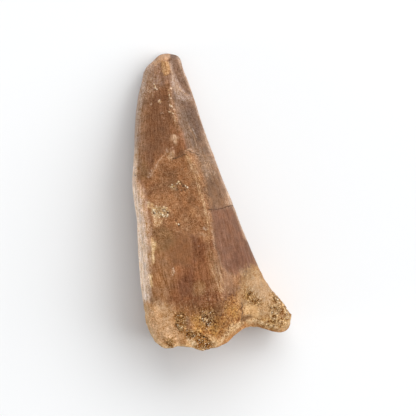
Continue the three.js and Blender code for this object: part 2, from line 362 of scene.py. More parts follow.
    root_edge=[line(0.75, 8, 15, 9, 11, 11.5, 6, 15.5, 3, 22, 0.5, 29, 2, 36.5, 1, 42, 0, 48, 1,
        54, 3, 59.5, 6, 64, 8, 70, 10, 77.5, 10, 85.5, 8, 93.5, 7.5, 98, 9.5, 100, 12.5, 98, 15.5,
        93.5, 18)],
    porous=[
        area(26, 13, 33, 13.5, 35, 11, 34, 7, 30, 6, 26, 7.5),
        area(33, 7.5, 42, 7.5, 45, 6, 52, 1.5, 49, 0, 42, 0.5, 35, 4, 32, 5.5),
        area(42, 14.5, 50, 14.5, 52, 11, 51, 8, 46, 7.5, 42, 10.5),
        area(70, 20.5, 75, 20.5, 78, 18, 82, 16.5, 80, 14.5, 74, 15.5, 70, 17.5),
        area(84, 15, 90, 15.5, 95, 16.5, 99, 16, 100, 13.5, 99, 10.5, 96, 7.5, 90, 6.5, 84, 7,
            79, 8, 82, 9.5, 86, 11),
        area(86, 20.5, 90, 18.5, 94, 16.5, 92, 15, 87, 16.5),
        area(20, 4, 26, 4.5, 27, 2, 23, 0.5)],
    faint_flecks=[
        spots(0.15, 11.5, 91, 13, 91, 11, 86.5, 8.5, 84.5, 12.5, 85.5, 10, 89.5, 7, 88, 15.5, 89.5,
            18.5, 79.5, 11.5, 82.5, 19.5, 77.5, 9.5, 87.5),
        spots(0.22, 23.5, 65, 22.5, 64.5, 43.5, 39, 45.5, 38.5, 25.5, 26.5, 9.5, 49.5, 10, 48,
            42.5, 66.5, 46.5, 58.5, 51.5, 59, 26, 71.5, 21.5, 67)],
    tan_patch=[area(12, 46, 14, 46, 16, 45, 16, 43.5, 18, 43.5, 18, 42.5, 16, 41.5, 14, 42,
        13, 44)],
    # Dark spots beside the crystals and in small pits: partly the pits' own darkness, partly
    # painted shadow.
    sockets=[
        spots(0.2, 30, 56, 31.5, 55, 32.5, 53.5, 30.5, 53.5, 27.5, 54, 19.5, 47, 16, 46.5, 22, 46,
            13.5, 46, 18, 44.5, 27, 43.5, 29, 42),
        spots(0.12, 1.8, 61, 1.8, 58.5)],
    crystals=[spots(0.25, 28.5, 56, 33.5, 54.5, 25, 55, 21, 47.5, 18, 45.5, 19, 45, 13.5, 47,
        21.5, 45.5, 28, 42.5, 23.5, 65)],
    ochre_streak=[area(18, 97, 22, 97, 23, 95, 23, 92.5, 20, 92, 18, 94)],
    darkest=[
        area(32, 80, 38, 80.5, 42, 74.5, 43, 70.5, 38, 67.5, 35, 70.5, 33, 75.5),
        area(40, 68.5, 45, 68, 50, 64, 52, 58.5, 50, 52, 47, 49, 45, 52, 43, 58.5, 40, 64),
        area(50, 15.5, 57, 16.5, 58, 12.5, 54, 10.5, 50, 11.5)],
    darker=[
        area(24, 86, 33, 86.5, 36, 80.5, 31, 76, 28, 80, 26, 84),
        area(11, 62, 20, 63, 28, 59, 28, 52, 18, 50.5, 9, 52, 8, 55),
        area(50, 58.5, 55, 56, 57, 52, 52, 47, 46, 48.5, 45, 54),
        area(29, 46.5, 35, 46.5, 36, 40, 30, 38.5),
        area(68, 27.5, 80, 27.5, 86, 20.5, 82, 17, 74, 21, 68, 22.5),
        area(16, 17, 24, 17, 25, 8, 18, 9),
        area(33, 16.5, 49, 16.5, 46, 13, 36, 13),
        area(57, 16.5, 67, 11.5, 65, 7.5, 59, 4, 54, 7.5),
        area(50, 11.5, 57, 12.5, 58, 8, 54, 5, 50, 5),
        area(59, 21.5, 69, 21.5, 69, 16.5, 61, 16.5)],
    paler=[
        area(9, 97, 16, 98, 16, 93, 9, 92),
        area(30, 99, 38, 98, 43, 89.5, 40, 85.5, 35, 89.5, 30, 95.5),
        area(20, 87.5, 23, 85.5, 25, 80.5, 22, 80),
        area(23, 76, 31, 74, 33, 67.5, 25, 64.5, 23, 70.5),
        area(33, 65.5, 36, 60.5, 42, 51, 39, 50, 35, 55, 31, 60.5),
        area(11, 28.5, 18, 28.5, 18, 19.5, 12, 19.5),
        area(26, 29, 35, 27.5, 35, 21.5, 28, 23.5),
        area(39, 29.5, 46, 29.5, 48, 20.5, 40, 19.5, 36, 23),
        area(57, 27, 64, 26.5, 65, 22.5, 58, 22.5),
        area(33, 8, 45, 9.5, 50, 7.5, 49, 1, 35, 1)],
    crust=[
        area(12, 47.5, 16, 48.5, 20, 48, 23, 47, 22, 45, 18, 44, 14, 45),
        area(24, 55, 27, 55.5, 27, 54, 24, 54)],
    strip_lines=[
        line(0.24, 6.5, 38, 6.5, 36),
        line(0.22, 6, 34.5, 6.5, 31.5),
        line(0.24, 7.5, 29.5, 8, 25.5, 9, 21),
        line(0.24, 6.5, 22, 7, 20),
        line(0.24, 9, 20.5, 9.5, 17),
        line(0.24, 4.5, 47, 5.5, 42.5),
        line(0.24, 4, 53, 4.5, 49.5)],
    druse=[area(43, 13.5, 47, 14, 50, 13, 51, 9.5, 48, 8, 46, 8.5, 43, 11)],
    mauve_grains=[
        area(33, 11.5, 36, 11.5, 38, 9, 37, 6.5, 34, 7, 33, 9.5),
        spots(0.45, 47.5, 9)],
    lump_red=[area(92, 13.5, 94, 14, 95, 12.5, 94, 10.5, 93, 11.5)],
    # Light tan on the down-facing wall under the root's edge: painted light over the wall's shade.
    root_under=[
        area(57, 2, 63, 4, 68, 7, 74, 8, 83, 7.5, 83, 5, 74, 6, 69, 4, 64, 1, 57, -0.5),
        area(34.5, 4, 38, 4, 41, 2, 36.5, 1.5)],
    mid_brown=[area(20, 39, 28, 40, 36, 39, 38, 35.5, 38, 31, 34, 28.5, 25, 29, 20, 32.5)],
    gold_patch=[area(38, 22.5, 42, 23.5, 45, 22.5, 45, 19.5, 42, 18, 38, 18.5)],
    mauve_tan=[area(55, 27, 60, 26.5, 65, 25, 68, 23, 67, 20, 60, 19.5, 56, 20.5, 55, 23.5)],
    white_fleck=[
        line(0.36, 25.5, 27.5, 26, 26.5, 25.5, 25.5),
        spots(0.2, 10, 58, 11, 59, 12, 60, 44.5, 41, 46, 40.5),
        spots(0.13, 41.5, 35)],
    tan_knot=[
        area(22, 65.5, 24, 66.5, 26, 66.5, 26, 64.5, 23.5, 63.5, 21.5, 64.5),
        area(24.5, 71.5, 26.5, 72, 28.5, 71, 27.5, 69, 25.5, 69.5, 24, 70.5)],
    right_scaly=[
        area(35, 67.5, 43, 67, 50, 65, 52, 62.5, 50, 60, 46, 58.5, 42, 60.5, 36, 64),
        area(57, 52, 61, 52.5, 63.5, 49, 59, 48)],
    smooth_root=[
        area(72, 24.5, 79, 25.5, 84, 22.5, 87, 19.5, 85, 16.5, 80, 17.5, 74, 20.5),
        area(71, 15.5, 75, 15.5, 79, 14, 79, 11.5, 74, 11.5),
        area(20, 38, 28, 40, 36, 39, 38, 35.5, 38, 31, 34, 28.5, 25, 29, 20, 32.5)],
    gold_root=[
        area(45, 13, 52, 11.5, 57, 13, 62, 15.5, 67, 16.5, 69, 13.5, 68, 9.5, 62, 7.5, 55, 5, 49, 4,
            45, 7),
        area(57, 17, 62, 18, 66, 17, 62, 15.5)],
    curly=[
        area(45, 21, 54, 20.5, 62, 18.5, 68, 17, 67, 11, 57, 11, 46, 12.5, 42, 15),
        area(13, 17.5, 21, 18.5, 29, 15.5, 28, 12.5, 16, 13),
        area(29, 17.5, 40, 18.5, 45, 15, 36, 13, 28, 13.5)],
    lively=[
        area(2, 97.5, 43, 97.5, 46, 80.5, 43, 67.5, 11, 80.5, 2, 87.5),
        area(45, 17, 70, 21.5, 70, 7, 46, 0, 40, 7),
        area(40, 21, 65, 19.5, 63, 13, 40, 13)],
)


def gap_to(points, start, end):
    """How far points are from the straight piece between start and end."""
    along = end - start
    share = np.clip((points - start) @ along / (along @ along), 0, 1)
    return np.linalg.norm(points - start - share[:, None] * along, axis=1)


def shape_depth(shape, points):
    """How far points (mm, seen from above) lie inside a shape; outside it is negative."""
    kind, half_width, corners = shape
    if kind == "spots":
        gaps = np.linalg.norm(points[:, None] - corners[None], axis=2)
        return half_width - gaps.min(axis=1)
    following = np.roll(corners, -1, axis=0)
    pieces = list(zip(corners, following))[: None if kind == "area" else -1]
    nearest = np.min([gap_to(points, start, end) for start, end in pieces], axis=0)
    if kind == "line":
        return half_width - nearest
    inside = np.zeros(len(points), bool)
    for start, end in pieces:
        if start[1] != end[1]:
            along = end - start
            crosses = (start[1] > points[:, 1]) != (end[1] > points[:, 1])
            at_x = start[0] + (points[:, 1] - start[1]) * along[0] / along[1]
            inside ^= crosses & (points[:, 0] < at_x)
    return np.where(inside, nearest, -nearest)


def line_side(shapes, points):
    """The distance (mm) to the nearest of a field's lines, negative on their right."""
    nearest = np.full(len(points), np.inf)
    side = np.zeros(len(points))
    for _, _, corners in shapes:
        for start, end in zip(corners[:-1], corners[1:]):
            along, offset = end - start, points - start
            gap = gap_to(points, start, end)
            left = along[0] * offset[:, 1] > along[1] * offset[:, 0]
            side = np.where(gap < nearest, np.where(left, gap, -gap), side)
            nearest = np.minimum(nearest, gap)
    return side


UPPER_LIMIT = 3.0  # how fast, in mm, a field ends where the surface turns to face down
UPPER_MARGIN = 0.3


def field_depths(points, normals):
    """The depth of every point in every field."""
    turned = UPPER_LIMIT * (normals[:, 2] + UPPER_MARGIN)
    depths = {}
    for name, shapes in FIELDS.items():
        depth = np.max([shape_depth(shape, points[:, :2]) for shape in shapes], axis=0)
        depths[name] = depth if name in WRAPS else np.minimum(depth, turned)
    return depths


def smooth(values, start, end):
    share = np.clip((values - start) / (end - start), 0, 1)
    return share * share * (3 - 2 * share)


# ------ the tooth's fine mesh

SUBDIVISIONS = 2
WELD = 0.0005 * MM
FLAT_ENOUGH = math.radians(60)  # limits for joining two triangles into one face
SQUARE_ENOUGH = math.radians(70)
BROKEN_ANGLE = math.radians(38)  # sharper edges than this belong to breaks, and stay crisp
BROKEN_CREASE = 0.4


def refined_copy(node):
    """A copy of a CAD node's mesh with shared corners, four-sided faces and subdivisions."""
    shape = bmesh.new()
    shape.from_mesh(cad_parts[node].data)
    bmesh.ops.remove_doubles(shape, verts=shape.verts, dist=WELD)
    bmesh.ops.join_triangles(
        shape, faces=shape.faces, angle_face_threshold=FLAT_ENOUGH,
        angle_shape_threshold=SQUARE_ENOUGH,
    )
    crease = shape.edges.layers.float.new("crease_edge")
    for edge in shape.edges:
        if edge.calc_face_angle(0.0) > BROKEN_ANGLE:
            edge[crease] = BROKEN_CREASE
    rough = bpy.data.meshes.new("rough")
    shape.to_mesh(rough)
    shape.free()
    holder = add_object("holder", rough)
    subdivision = holder.modifiers.new("subdivision", "SUBSURF")
    subdivision.levels = SUBDIVISIONS
    subdivision.subdivision_type = "CATMULL_CLARK"
    evaluated = holder.evaluated_get(bpy.context.evaluated_depsgraph_get())
    mesh = bpy.data.meshes.new_from_object(evaluated)
    bpy.data.objects.remove(holder)
    mesh.materials.clear()
    return mesh


def read_vectors(items, name):
    values = np.zeros(len(items) * 3, np.float32)
    items.foreach_get(name, values)
    return values.reshape(-1, 3).astype(float)


AXIS_TIP = np.array([-8.3, 24.0, 2.6])  # a straight line through the crown's middle
AXIS_ROOT = np.array([-1.6, -15.0, 6.6])
PATTERN_RADIUS = 7.0  # mm, of the drum that the lengthwise pattern is wound on
PATTERN_STRETCH = 14.0  # how many times longer than wide the lengthwise pattern is


def pattern_places(points):
    """Places in a pattern that runs along the crown and closes round it."""
    share = (points[:, 1] - AXIS_ROOT[1]) / (AXIS_TIP[1] - AXIS_ROOT[1])
    middle = AXIS_ROOT + share[:, None] * (AXIS_TIP - AXIS_ROOT)
    angle = np.arctan2(points[:, 2] - middle[:, 2], points[:, 0] - middle[:, 0])
    return np.stack([
        PATTERN_RADIUS * np.cos(angle),
        PATTERN_RADIUS * np.sin(angle),
        points[:, 1] / PATTERN_STRETCH,
    ], axis=1)


# Roughness of the surface: its height in mm, its features per mm, its octaves and its seed.
Rough = namedtuple("Rough", "height scale octaves seed")
CROWN_WAVES = Rough(0.035, 1.1, 3, 1)
SPALL_ROUGH = Rough(0.09, 1.3, 4, 2)
ROOT_LUMPS = Rough(0.15, 0.45, 2, 3)
ROOT_ROUGH = Rough(0.05, 1.6, 4, 4)
POROUS_EXTRA = 0.08  # mm that the porous parts add to the height of ROOT_ROUGH
POROUS_PITS = Rough(0.18, 1.1, 3, 5)
PIT_EDGE = (0.15, 0.6)  # values of the noise between which a pit comes in
NOISE_SHIFT = np.array([31.7, 17.3, 7.9])  # from one seed to the next

# Heights (mm) that a field adds to the surface, and the width (mm) of its edge.
RELIEF = dict(
    spall=(-0.20, 0.8), scoop=(-0.12, 0.6), hollow=(-0.20, 0.5), granular=(-0.05, 0.4),
    hole=(-0.35, 0.6), sockets=(-0.16, 0.2), cracks=(-0.06, 0.9), golden_veins=(0.05, 0.9),
    pale_lines=(0.04, 0.9), flecks=(0.08, 0.15), dark_brown=(-0.12, 0.4), strip=(0.05, 0.3),
)
ROUGH_EDGES = dict(root=(-0.6, 0.6), spall=(-0.4, 0.8), porous=(-0.5, 0.6))
RIDGE_LIFT = 0.22  # the ridge's crispness
RIDGE_WIDTH = 0.7
RIDGE_HEIGHTS = (5, 7)  # mm above the floor between which the ridge gets crisp


def rough_noise(points, rough):
    """Fractal noise from about -1 to 1."""
    return np.array([
        noise.fractal(Vector(place), 1.0, 2.0, rough.octaves)
        for place in points * rough.scale + rough.seed * NOISE_SHIFT
    ])


def relief(points, depths, patterns):
    """The height (mm) of the fine shape over the plain surface."""
    root, spall, porous = (smooth(depths[name], *edge) for name, edge in ROUGH_EDGES.items())
    height = CROWN_WAVES.height * (1 - root) * rough_noise(patterns, CROWN_WAVES)
    height += SPALL_ROUGH.height * spall * rough_noise(points, SPALL_ROUGH)
    height += ROOT_LUMPS.height * root * rough_noise(points, ROOT_LUMPS)
    root_rough = ROOT_ROUGH.height * root + POROUS_EXTRA * porous
    height += root_rough * rough_noise(points, ROOT_ROUGH)
    pits = smooth(rough_noise(points, POROUS_PITS), *PIT_EDGE)
    height -= POROUS_PITS.height * porous * pits
    for name, (lift, edge) in RELIEF.items():
        height += lift * smooth(depths[name], -edge / 2, edge / 2)
    ridge = np.exp(-((depths["right_face"] / RIDGE_WIDTH) ** 2)) * (1 - root)
    return height + RIDGE_LIFT * ridge * smooth(points[:, 2], *RIDGE_HEIGHTS)


# ------ the fossil material

# The fields that say where the effects act, and the depths (mm) between which they come in.
MASKS = dict(
    root=(-0.7, 0.9), spall=(-0.9, 1.1), strip=(-0.3, 0.3), porous=(-0.7, 1.0),
    granular=(-0.3, 0.4), druse=(-0.3, 0.4), hollow=(-0.3, 0.4), ochre=(-0.6, 0.6),
    gold_root=(-0.6, 0.6), golden=(-0.4, 0.4), plum=(-0.5, 0.5), curly=(-1.0, 1.0),
    smooth_root=(-0.6, 0.8), lively=(-1.5, 1.5), flecky=(-0.4, 0.5),
)
DRUSE_CRUMBS = 0.5

# The effects that add up: how strong each is everywhere, and what each mask adds.
EFFECTS = dict(
    speckled=(0.75, dict(
        spall=0.25, root=0.15, porous=0.4, strip=-0.1, smooth_root=-0.35, gold_root=0.35,
        lively=0.3, plum=-0.3,
    )),
    rough=(0.12, dict(spall=0.5, root=0.25, porous=0.3)),
    pitted=(0, dict(
        spall=0.08, root=0.12, gold_root=0.35, porous=0.5, granular=0.7, lively=0.15,
    )),
    fibrous=(0, dict(spall=0.5, golden=0.4, root=0.45, curly=0.7)),
    crumbly=(0, dict(porous=1.0, granular=1.0, hollow=-0.5)),
    flecky=(0.06, dict(flecky=0.55, porous=0.45)),
)
CAPPED = ("pitted", "crumbly")  # these stay between 0 and 1
SPALL_UNSTRIPED = 0.75  # the share of the crown's stripes that is lost
CALM_UNSTRIPED = 0.45


def effect_strengths(depths):
    """The effects' strengths. The hollow and the druse crumble too, and ochre counts as gold."""
    masks = {field: smooth(depths[field], *edge) for field, edge in MASKS.items()}
    crumbs = masks["granular"], masks["hollow"], DRUSE_CRUMBS * masks["druse"]
    masks["granular"] = np.max(crumbs, axis=0)
    masks["gold_root"] = np.maximum(masks["gold_root"], masks["ochre"])
    masks["curly"] *= 1 - masks["root"]
    strengths = {
        name: base + sum(share * masks[field] for field, share in shares.items())
        for name, (base, shares) in EFFECTS.items()
    }
    for name in CAPPED:
        strengths[name] = np.clip(strengths[name], 0, 1)
    striped = (1 - masks["root"]) * (1 - SPALL_UNSTRIPED * masks["spall"])
    strengths["striped"] = striped * (1 - CALM_UNSTRIPED * masks["smooth_root"])
    return strengths


class Graph:
    """Short calls for making a material's nodes."""

    def __init__(self, material):
        self.tree = material.node_tree

    def node(self, kind, settings=(), inputs=(), output=0):
        """One output of a new node."""
        made = self.tree.nodes.new(kind)
        for name, value in dict(settings).items():
            setattr(made, name, value)
        for name, value in dict(inputs).items():
            self.plug(made.inputs[name], value)
        return made.outputs[output]

    def plug(self, socket, value):
        if isinstance(value, bpy.types.NodeSocket):
            self.tree.links.new(value, socket)
        else:
            socket.default_value = value

    def math(self, operation, first, second=0.0):
        return self.node("ShaderNodeMath", {"operation": operation}, {0: first, 1: second})

    def product(self, *values):
        return reduce(partial(self.math, "MULTIPLY"), values)

    def total(self, *values):
        return reduce(partial(self.math, "ADD"), values)

    def rest(self, share):
        return self.math("SUBTRACT", 1.0, share)

    def centred(self, noise_value):
        return self.math("SUBTRACT", noise_value, 0.5)

    def vectors(self, operation, first, second):
        return self.node("ShaderNodeVectorMath", {"operation": operation}, {0: first, 1: second})

    def scale(self, vector, factor):
        settings = {"operation": "SCALE"}
        return self.node("ShaderNodeVectorMath", settings, {0: vector, "Scale": factor})

    def step(self, value, start, end):
        settings = {"interpolation_type": "SMOOTHSTEP"}
        inputs = {"Value": value, "From Min": start, "From Max": end}
        return self.node("ShaderNodeMapRange", settings, inputs)

    def mix(self, factor, first, second):
        inputs = {0: factor, 6: first, 7: second}
        return self.node("ShaderNodeMix", {"data_type": "RGBA"}, inputs, 2)

    def blend(self, factor, first, second):
        inputs = {0: factor, 2: first, 3: second}
        return self.node("ShaderNodeMix", {"data_type": "FLOAT"}, inputs)

    def attribute(self, name, output="Fac"):
        return self.node("ShaderNodeAttribute", {"attribute_name": name}, output=output)

    def spot(self):
        """The place on the object, in mm."""
        return self.scale(self.node("ShaderNodeTexCoord", output="Object"), 1 / MM)

    def noise(self, vector, scale, detail=2.0, roughness=0.5, output="Fac"):
        inputs = {"Vector": vector, "Scale": scale, "Detail": detail, "Roughness": roughness}
        return self.node("ShaderNodeTexNoise", (), inputs, output)

    def cells(self, vector, scale, feature, output):
        inputs = {"Vector": vector, "Scale": scale}
        return self.node("ShaderNodeTexVoronoi", {"feature": feature}, inputs, output)

    def ramp(self, value, stops):
        colour = self.node("ShaderNodeValToRGB", (), {"Fac": value}, "Color")
        ramp = colour.node.color_ramp
        ramp.interpolation = "EASE"
        while len(ramp.elements) < len(stops):
            ramp.elements.new(1.0)
        for element, (position, shade) in zip(ramp.elements, stops):
            element.position = position
            element.color = (*shade, 1.0)
        return colour

    def bump(self, height, distance):
        inputs = {"Height": height, "Distance": distance, "Strength": 1.0}
        return self.node("ShaderNodeBump", (), inputs, "Normal")


ENAMEL = (0.205, 0.087, 0.036, 1)
ENAMEL_UNDER = (0.26, 0.135, 0.07, 1)  # in clouds, on the side that faces down
UNDER_CLOUDS = (0.35, 0.65)
UNDER_NORMAL = (-0.3, 0.1)  # the underside begins where the surface's Z is between these
ENAMEL_ROUGHNESS = 0.45
UNEVEN_ROUGHNESS = 0.3
SHEEN = 0.25  # specular level, of whole skin and of crumbs
CRUMB_SHEEN = 0.06

# The layers of colour, from the lowest up: field, colour, roughness, share, and in mm how soft and
# how ragged its edge is. "broken" is how much of it is worn away in patches, and "lengthwise" says
# that its edge and patches run along the crown.
Layer = namedtuple("Layer", "field colour roughness share soft ragged broken lengthwise",
                   defaults=[False])
LAYERS = [Layer(*row) for row in (
    ("right_face", (0.177, 0.094, 0.053), 0.45, 1.0, 0.35, 0.5, 0.0, True),
    ("tip_front", (0.33, 0.19, 0.122), 0.5, 0.9, 0.8, 1.2, 0.2, True),
    # partly the crown's own tone, partly painted sheen on its left side
    ("left_soft", (0.27, 0.145, 0.078), 0.45, 0.85, 0.9, 1.0, 0.2, True),
    # painted highlight: a pale line along the left outline
    ("left_edge", (0.46, 0.315, 0.225), 0.5, 0.9, 0.5, 0.5, 0.1, True),
    ("front_dark", (0.165, 0.068, 0.027), 0.45, 0.8, 1.2, 1.2, 0.2, True),
    ("front_low", (0.225, 0.086, 0.032), 0.48, 0.95, 0.9, 1.0, 0.0, True),
    ("low_dark", (0.185, 0.062, 0.022), 0.48, 0.75, 1.0, 1.4, 0.2, True),
    ("low_left", (0.315, 0.152, 0.066), 0.5, 0.9, 1.1, 1.2, 0.2, True),
    ("right_streaks", (0.145, 0.08, 0.05), 0.45, 0.6, 0.4, 0.8, 0.3, True),
    ("ridge_pale", (0.26, 0.158, 0.1), 0.45, 0.7, 0.6, 0.8, 0.2, True),
    ("ridge_gold", (0.34, 0.175, 0.086), 0.5, 0.75, 0.3, 0.8, 0.4, True),
    ("spall", (0.262, 0.106, 0.037), 0.62, 1.0, 0.7, 1.5, 0.0),
    ("spall_light", (0.37, 0.172, 0.072), 0.62, 0.75, 0.7, 1.8, 0.3),
    ("spall_dark", (0.215, 0.088, 0.03), 0.62, 0.75, 0.7, 1.8, 0.3),
    ("smooth_tan", (0.23, 0.112, 0.05), 0.5, 0.8, 0.6, 0.9, 0.2, True),
    ("grey", (0.25, 0.15, 0.088), 0.55, 0.4, 0.5, 1.4, 0.5),
    ("right_scaly", (0.39, 0.255, 0.17), 0.55, 0.5, 0.5, 1.6, 0.6),
    ("golden", (0.3, 0.142, 0.06), 0.6, 0.8, 0.6, 1.4, 0.3, True),
    ("mauve_tan", (0.285, 0.146, 0.07), 0.5, 0.8, 0.6, 1.2, 0.3, True),
    ("golden_veins", (0.55, 0.34, 0.18), 0.6, 0.65, 0.2, 0.3, 0.5),
    ("plum", (0.17, 0.07, 0.034), 0.45, 0.95, 0.4, 0.6, 0.1, True),
    ("red", (0.225, 0.078, 0.026), 0.5, 0.75, 0.7, 1.4, 0.3, True),
    ("mid_brown", (0.245, 0.105, 0.041), 0.5, 0.85, 1.0, 1.2, 0.1, True),
    ("plum_dark", (0.14, 0.054, 0.026), 0.45, 0.7, 0.6, 1.4, 0.3, True),
    ("gold_patch", (0.29, 0.16, 0.07), 0.5, 0.7, 0.5, 1.2, 0.4, True),
    ("olive", (0.2, 0.1, 0.036), 0.5, 0.7, 0.7, 1.2, 0.2, True),
    ("dark_brown", (0.185, 0.074, 0.028), 0.5, 0.65, 0.4, 1.0, 0.3, True),
    ("mauve_streaks", (0.13, 0.07, 0.045), 0.45, 0.6, 0.25, 1.0, 0.5, True),
    # pale enamel of the left facet, partly a painted reflection
    ("strip", (0.575, 0.362, 0.232), 0.5, 1.0, 0.65, 0.5, 0.0, True),
    # pale enamel and a painted reflection on the left facet
    ("strip_bright", (0.94, 0.725, 0.565), 0.5, 0.95, 0.7, 0.5, 0.05, True),
    ("strip_lines", (0.42, 0.27, 0.17), 0.5, 0.6, 0.12, 0.2, 0.2, True),
    ("tan_streaks", (0.8, 0.55, 0.29), 0.5, 0.85, 0.35, 0.6, 0.2, True),
    ("tan_patch", (0.62, 0.4, 0.225), 0.55, 0.8, 0.4, 0.9, 0.2),
    ("crust", (0.42, 0.285, 0.15), 0.5, 0.8, 0.4, 1.2, 0.3),
    # painted reflection: a pale rim along the right outline
    ("rim", (0.5, 0.35, 0.25), 0.45, 0.85, 0.3, 0.5, 0.3, True),
    # partly dark mauve, partly painted shade in the scooped groove
    ("scoop", (0.155, 0.082, 0.047), 0.55, 0.9, 0.5, 0.6, 0.1),
    # partly paler enamel, partly a painted highlight at the scoop's edge
    ("scoop_pale", (0.4, 0.275, 0.205), 0.5, 0.85, 0.45, 0.4, 0.1),
    ("tip_bevel", (0.26, 0.13, 0.07), 0.55, 0.6, 0.3, 0.6, 0.3),
    ("tip_break", (0.5, 0.29, 0.165), 0.6, 0.95, 0.25, 0.6, 0.1),
    ("ochre_streak", (0.44, 0.232, 0.095), 0.6, 0.9, 0.2, 0.5, 0.1),
    ("root", (0.435, 0.2, 0.066), 0.78, 1.0, 0.6, 1.6, 0.0),
    ("root_brown", (0.27, 0.108, 0.03), 0.78, 0.8, 1.0, 1.8, 0.2),
    ("root_smooth", (0.66, 0.385, 0.196), 0.7, 0.95, 0.9, 1.6, 0.1),
    ("lobe", (0.37, 0.225, 0.108), 0.75, 0.95, 1.3, 2.4, 0.1),
    ("lobe_grey", (0.5, 0.325, 0.188), 0.7, 0.7, 0.9, 1.0, 0.1),
    ("gold_root", (0.365, 0.155, 0.034), 0.75, 0.8, 0.6, 1.4, 0.4),
    ("ochre", (0.35, 0.168, 0.038), 0.8, 0.75, 0.4, 0.9, 0.3),
    ("cream", (0.66, 0.415, 0.2), 0.7, 0.8, 0.45, 0.8, 0.2),
    # partly pale bone, partly a painted rim highlight
    ("root_edge", (0.7, 0.47, 0.25), 0.7, 0.75, 0.3, 0.8, 0.3),
    ("mauve_grains", (0.25, 0.13, 0.085), 0.8, 0.6, 0.3, 0.8, 0.4),
    ("lump_red", (0.22, 0.09, 0.042), 0.8, 0.85, 0.2, 0.3, 0.2),
    ("granular", (0.27, 0.14, 0.056), 0.8, 0.65, 0.3, 0.7, 0.3),
    ("druse", (0.42, 0.235, 0.12), 0.7, 0.65, 0.3, 1.0, 0.4),
    ("hollow", (0.36, 0.15, 0.038), 0.85, 0.85, 0.25, 0.6, 0.1),
    # painted light: lifts the shade of the down-facing wall under the root
    ("root_under", (0.84, 0.58, 0.34), 0.7, 0.7, 0.3, 0.5, 0.1),
    # partly pale enamel, partly a painted highlight on ridge and break edges
    ("pale_lines", (0.44, 0.27, 0.165), 0.5, 0.55, 0.18, 0.6, 0.5),
    ("faint_flecks", (0.5, 0.345, 0.23), 0.45, 0.5, 0.2, 0.6, 0.3),
    ("flecks", (0.72, 0.52, 0.35), 0.45, 0.8, 0.1, 0.3, 0.2),
    # partly dark pits, partly painted shadow beside the crystals
    ("sockets", (0.09, 0.045, 0.022), 0.7, 0.75, 0.12, 0.3, 0.1),
    # partly dark brown, partly painted shade in the hole
    ("hole", (0.15, 0.06, 0.016), 0.85, 0.9, 0.3, 0.2, 0.0),
    ("tan_knot", (0.54, 0.34, 0.2), 0.5, 0.75, 0.35, 0.6, 0.4),
    ("white_fleck", (0.56, 0.39, 0.28), 0.45, 0.6, 0.12, 0.2, 0.2),
    # partly dark filling, partly painted shadow in the cracks
    ("cracks", (0.075, 0.032, 0.015), 0.7, 0.85, 0.2, 0.2, 0.0),
    ("right_crack", (0.4, 0.29, 0.22), 0.5, 0.7, 0.2, 0.2, 0.3),
)]

# Lines much finer than the mesh: field and half width in mm. They follow the distance to the line
# itself, which keeps its sign on either side, and their field only says where they end.
THIN = dict(golden_veins=0.10, pale_lines=0.13, cracks=0.085, right_crack=0.09)
THIN_EDGE = (0.5, 1.4)  # where a line fades, in half widths
THIN_WANDER = 0.28  # mm

# Cloudy patches that darken or lighten whatever they lie on: field and factor.
BRIGHTNESS_PATCHES = dict(darkest=0.72, darker=0.85, paler=1.19)
BRIGHTNESS_PATCH_SOFT = 0.8  # mm, of a stain's edge
BRIGHTNESS_PATCH_RAGGED = 0.9

# Noise: its space, its features per mm, its octaves and its roughness. "spot" is plain space and
# "bent" warped space; "along" runs along the crown, and "short" does in shorter pieces.
SHORTER = 3.5
WARP = 0.45  # mm
WARP_SCALE = 2.5
NOISES = dict(
    edge=("spot", 1.5, 5.0, 0.7),
    edge_along=("short", 1.7, 5.0, 0.7),
    worn=("spot", 1.2, 5.0, 0.75),
    worn_along=("short", 1.1, 5.0, 0.7),
    wander=("spot", 1.6, 3.0, 0.6),
    mottle=("spot", 0.55, 3.0, 0.55),
    middle=("spot", 1.7, 2.0, 0.5),
    fine=("spot", 4.2, 2.0, 0.6),
    finest=("spot", 8.0, 1.0, 0.5),
    streaks=("short", 1.7, 3.0, 0.55),
    threads=("along", 6.5, 2.0, 0.6),
    clusters=("spot", 0.8, 4.0, 0.65),
    pits=("spot", 2.9, 3.0, 0.65),
    specks=("spot", 4.0, 2.0, 0.6),
    curls=("bent", 1.9, 1.0, 0.5),
    hue=("spot", 0.7, 1.0, 0.5),
)
# The noises that only say where something is, and the values between which it comes in.
PATCHES = dict(
    worn=(0.42, 0.6), worn_along=(0.42, 0.6), clusters=(0.36, 0.58), pits=(0.55, 0.66),
    specks=(0.58, 0.68),
)
CRUMB_CELLS = 2.8  # crumbs per mm
GAP_WIDTH = 0.12  # of the gaps between crumbs, as a share of a crumb
GAP_STRENGTH = 0.8
LONE_PITS = 0.45  # the strength of pits outside the clusters
DARK_STRENGTH = 0.8
CURL_EDGE = (0.01, 0.05)  # how far the noise is from its middle value at a curl's edge
CURL_STRENGTH = 0.5
SPECK_STRENGTH = 0.8
# the dark of gaps and pits: partly their own colour, partly painted shade in them
PIT_SHADE_COLOUR = (0.090, 0.034, 0.010, 1)
FLECK_COLOUR = (0.56, 0.33, 0.165, 1)
CRUMB_COLOUR = (0.78, 0.49, 0.20, 1)

